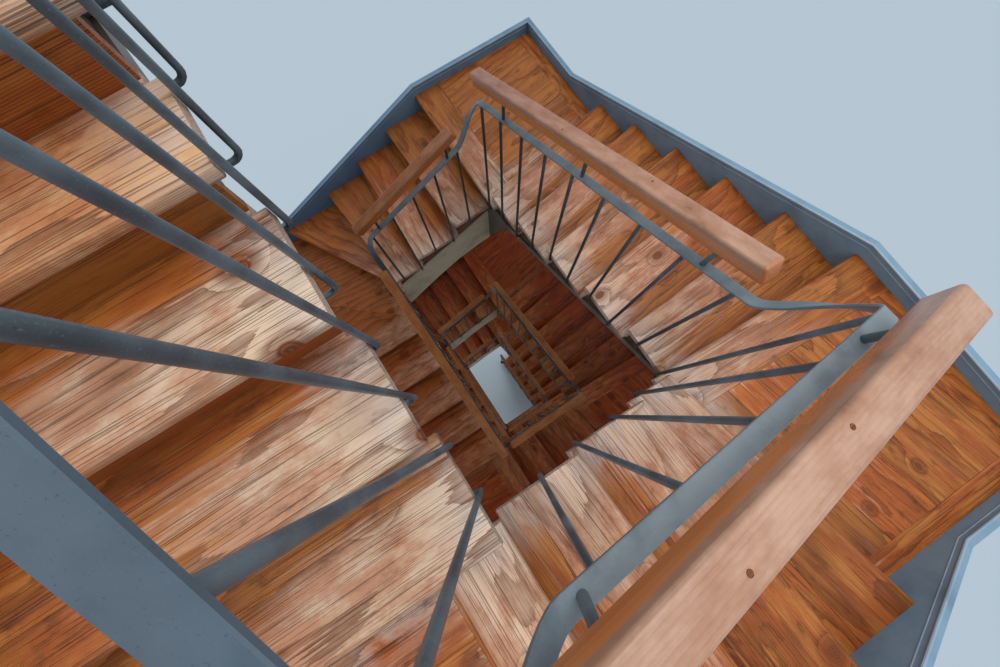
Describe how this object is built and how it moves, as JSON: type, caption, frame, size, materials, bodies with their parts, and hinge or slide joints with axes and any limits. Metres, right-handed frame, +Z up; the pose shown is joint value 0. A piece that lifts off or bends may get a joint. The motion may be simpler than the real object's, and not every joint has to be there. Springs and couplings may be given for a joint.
{
  "type": "winding staircase round an open rectangular well",
  "caption": "Timber stair winding clockwise round an open rectangular well, with corner landings, balanced winders, wall strings, iron rod balustrade and wooden rail lengths.",
  "frame": {"origin": "on the back face of the right-hand wall string, at floor level, below the wall end of the first nosing", "axes": "+Z up, +Y out of the back of the right-hand wall string, towards the wall, +X along the right-hand flight in its climbing direction"},
  "size_m": [3.93, 3.1, 14.359],
  "materials": {
    "tread_board": "worn varnished softwood boards, pale at the well end",
    "riser_board": "dark varnished softwood",
    "cut_string_timber": "dark stained timber",
    "fascia_paint": "cream paint on board, matt",
    "wall_string_paint": "blue-grey paint on board, satin",
    "rail_wood": "smooth worn hardwood",
    "painted_iron": "blue-grey paint on hammered iron, satin",
    "bearer_timber": "sawn timber"
  },
  "bodies": {
    "root": {"treads_right_1": "tread_board", "treads_right_2": "tread_board", "treads_right_3": "tread_board", "treads_right_4": "tread_board", "treads_foot_1": "tread_board", "treads_foot_2": "tread_board", "treads_foot_3": "tread_board", "treads_foot_4": "tread_board", "treads_left_1": "tread_board", "treads_left_2": "tread_board", "treads_left_3": "tread_board", "treads_left_4": "tread_board", "treads_head_1": "tread_board", "treads_head_2": "tread_board", "treads_head_3": "tread_board", "treads_head_4": "tread_board", "risers_1": "riser_board", "risers_2": "riser_board", "risers_3": "riser_board", "risers_4": "riser_board", "string_right": "cut_string_timber", "string_foot": "cut_string_timber", "string_left": "cut_string_timber", "string_head": "cut_string_timber", "fascia_right": "fascia_paint", "fascia_foot": "fascia_paint", "fascia_left": "fascia_paint", "fascia_head": "fascia_paint", "wall_string_right": "wall_string_paint", "wall_string_foot": "wall_string_paint", "wall_string_left": "wall_string_paint", "wall_string_head": "wall_string_paint", "balustrade_right": "painted_iron", "balustrade_foot": "painted_iron", "balustrade_left": "painted_iron", "balustrade_head": "painted_iron", "handrail_right": "rail_wood", "handrail_foot": "rail_wood", "handrail_left": "rail_wood", "handrail_head": "rail_wood", "corner_bearers": "bearer_timber", "landing_trimmer": "bearer_timber", "landing_guard": "painted_iron", "guard_rail": "rail_wood", "start_post": "painted_iron"}
  },
  "joints": []
}
